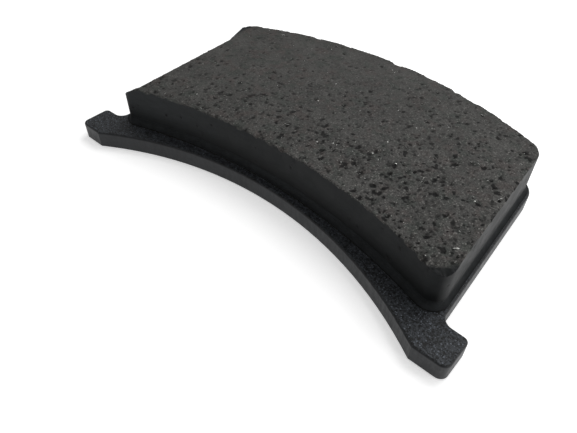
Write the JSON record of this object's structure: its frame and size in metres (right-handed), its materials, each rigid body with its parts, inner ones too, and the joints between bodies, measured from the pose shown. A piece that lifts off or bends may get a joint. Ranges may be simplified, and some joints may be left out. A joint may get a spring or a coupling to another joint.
{
  "type": "disc brake pad",
  "caption": "Arch-shaped disc brake pad: a painted steel backing plate with two sliding lugs, carrying a thick bonded friction block chamfered at one end.",
  "frame": {"origin": "middle of the plate's back face, halfway between the lugs' inner edge and the crown of the outer edge", "axes": "+Z from the back face to the friction face, +X along the pad, +Y away from the wheel's axle"},
  "size_m": [0.12, 0.072, 0.017],
  "materials": {
    "plate_paint": "black powder coat with a fine sandy grain",
    "adhesive": "cured phenolic adhesive",
    "underlayer_compound": "moulded, dark and matt",
    "friction_compound": "pressed compound, grainy on the friction face and smooth on its walls"
  },
  "bodies": {
    "root": {"backing_plate": "plate_paint", "bond_film": "adhesive", "underlayer": "underlayer_compound", "friction_block": "friction_compound"}
  },
  "joints": []
}
